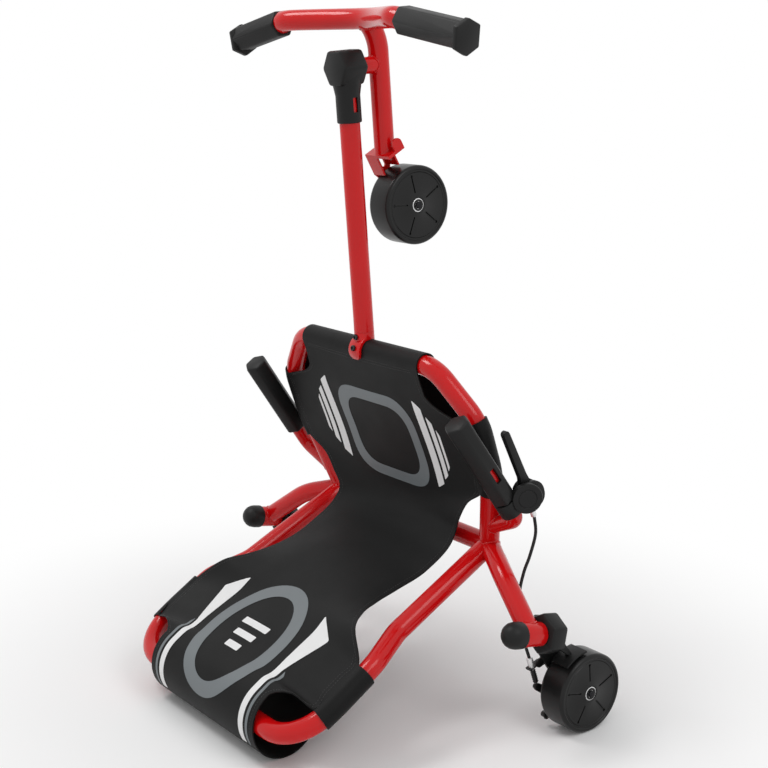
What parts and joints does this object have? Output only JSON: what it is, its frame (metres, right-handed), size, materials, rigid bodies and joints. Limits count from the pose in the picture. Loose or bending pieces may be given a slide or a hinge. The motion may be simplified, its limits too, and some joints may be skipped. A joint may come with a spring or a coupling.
{
  "type": "ride-on scooter",
  "caption": "Ride-on drift scooter stood on its tail: red tube frame, foot steering bar with front wheel, inclined rear casters, sling seat and hand brake.",
  "frame": {"origin": "centre of the base of the bounding box", "axes": "+Z up as it stands on its tail, which is forward when it is ridden; -Y is up when it is ridden; +X to the rider's right"},
  "size_m": [0.762, 0.5261, 1.081],
  "materials": {
    "red_powder_coat": "glossy red enamel",
    "black_moulded_plastic": "satin moulded",
    "black_polyurethane": "glossy cast",
    "black_steel": "black coated steel",
    "zinc_plated_steel": "bright zinc",
    "white_nylon": "natural nylon",
    "black_rubber": "smooth",
    "black_coated_fabric": "coated weave with a slight sheen",
    "brake_lining": "moulded friction lining"
  },
  "bodies": {
    "frame": {"cross_tube": "red_powder_coat", "seat_loop_tube": "red_powder_coat", "backrest_loop_tube": "red_powder_coat", "backrest_spigot_right": "zinc_plated_steel", "backrest_spigot_left": "zinc_plated_steel", "caster_head_right": "red_powder_coat", "caster_head_left": "red_powder_coat", "caster_bushing_right": "white_nylon", "caster_bushing_left": "white_nylon", "caster_dome_cap_right": "black_moulded_plastic", "caster_dome_cap_left": "black_moulded_plastic", "handle_tube_right": "red_powder_coat", "handle_tube_left": "red_powder_coat", "hand_grip_right": "black_moulded_plastic", "hand_grip_left": "black_moulded_plastic", "sling_seat": "black_coated_fabric", "centre_tube": "red_powder_coat", "centre_tube_bracket": "red_powder_coat", "bracket_screw_lower": "black_steel", "bracket_screw_upper": "black_steel", "steering_head_cover": "black_moulded_plastic", "steering_bushing": "white_nylon", "brake_perch": "black_moulded_plastic", "brake_lever_pin": "zinc_plated_steel", "cable_ferrule": "zinc_plated_steel"},
    "steering": {"foot_bar": "red_powder_coat", "steering_stem": "red_powder_coat", "kingpin": "zinc_plated_steel", "front_fork": "red_powder_coat", "foot_grip_right": "black_moulded_plastic", "foot_grip_left": "black_moulded_plastic", "front_axle_bolt": "zinc_plated_steel"},
    "front_wheel_assembly": {"front_wheel": "black_polyurethane", "front_wheel_bearing_outer": "zinc_plated_steel", "front_wheel_bearing_inner": "zinc_plated_steel"},
    "caster_right": {"caster_fork_right": "black_moulded_plastic", "caster_pin_right": "zinc_plated_steel", "caster_nut_right": "zinc_plated_steel", "rear_axle_bolt_right": "zinc_plated_steel", "brake_backing_plate": "black_steel", "cable_stop": "black_steel", "cable_adjuster": "zinc_plated_steel", "cable_boot": "black_rubber", "brake_cable": "black_rubber"},
    "caster_left": {"caster_fork_left": "black_moulded_plastic", "caster_pin_left": "zinc_plated_steel", "caster_nut_left": "zinc_plated_steel", "rear_axle_bolt_left": "zinc_plated_steel"},
    "rear_wheel_right_assembly": {"rear_wheel_right": "black_polyurethane", "rear_wheel_right_bearing_outer": "zinc_plated_steel", "rear_wheel_right_bearing_inner": "zinc_plated_steel"},
    "rear_wheel_left_assembly": {"rear_wheel_left": "black_polyurethane", "rear_wheel_left_bearing_outer": "zinc_plated_steel", "rear_wheel_left_bearing_inner": "zinc_plated_steel"},
    "brake_arm_body": {"brake_arm": "black_steel", "brake_shoe": "brake_lining"},
    "brake_lever_body": {"brake_lever": "black_moulded_plastic"},
    "snap_right": {"snap_button_right": "zinc_plated_steel"},
    "snap_left": {"snap_button_left": "zinc_plated_steel"}
  },
  "joints": [
    {"name": "steering", "type": "hinge", "parent": "frame", "child": "steering", "pos_m": [0, 0.20647, 1.00356], "axis": [0, -0.9982, -0.0603], "range_deg": [-60, 60]},
    {"name": "front_wheel_spin", "type": "hinge", "parent": "steering", "child": "front_wheel_assembly", "pos_m": [0, 0.15742, 0.77919], "axis": [1, 0, 0], "continuous": true},
    {"name": "caster_right_swivel", "type": "hinge", "parent": "frame", "child": "caster_right", "pos_m": [0.353, 0.16096, 0.16529], "axis": [0, -0.9769, 0.2137], "range_deg": [-60, 60], "deforming": ["brake_cable"]},
    {"name": "caster_left_swivel", "type": "hinge", "parent": "frame", "child": "caster_left", "pos_m": [-0.353, 0.16096, 0.16529], "axis": [0, -0.9769, 0.2137], "range_deg": [-60, 60]},
    {"name": "rear_wheel_right_spin", "type": "hinge", "parent": "caster_right", "child": "rear_wheel_right_assembly", "pos_m": [0.353, 0.20073, 0.0625], "axis": [1, 0, 0], "continuous": true},
    {"name": "rear_wheel_left_spin", "type": "hinge", "parent": "caster_left", "child": "rear_wheel_left_assembly", "pos_m": [-0.353, 0.20073, 0.0625], "axis": [1, 0, 0], "continuous": true},
    {"name": "brake_lever_pull", "type": "hinge", "parent": "frame", "child": "brake_lever_body", "pos_m": [0.288, 0.15065, 0.36904], "axis": [1, 0, 0], "range_deg": [0, 12], "stiffness_Nm_per_rad": 1.5, "springref_deg": -5.73},
    {"name": "brake_arm_turn", "type": "hinge", "parent": "caster_right", "child": "brake_arm_body", "pos_m": [0.353, 0.17665, 0.04832], "axis": [-1, 0, 0], "range_deg": [0, 6], "stiffness_Nm_per_rad": 0.8, "springref_deg": -2.86, "deforming": ["cable_boot"]},
    {"name": "snap_button_right_press", "type": "slide", "parent": "frame", "child": "snap_right", "axis": [0, 0.4322, -0.9018], "range_m": [-0.004, 0], "stiffness_N_per_m": 400, "springref_m": 0.002},
    {"name": "snap_button_left_press", "type": "slide", "parent": "frame", "child": "snap_left", "axis": [0, 0.4322, -0.9018], "range_m": [-0.004, 0], "stiffness_N_per_m": 400, "springref_m": 0.002}
  ],
  "couplings": [
    {"joint": "brake_arm_turn", "follows": "brake_lever_pull", "ratio": 0.5}
  ]
}
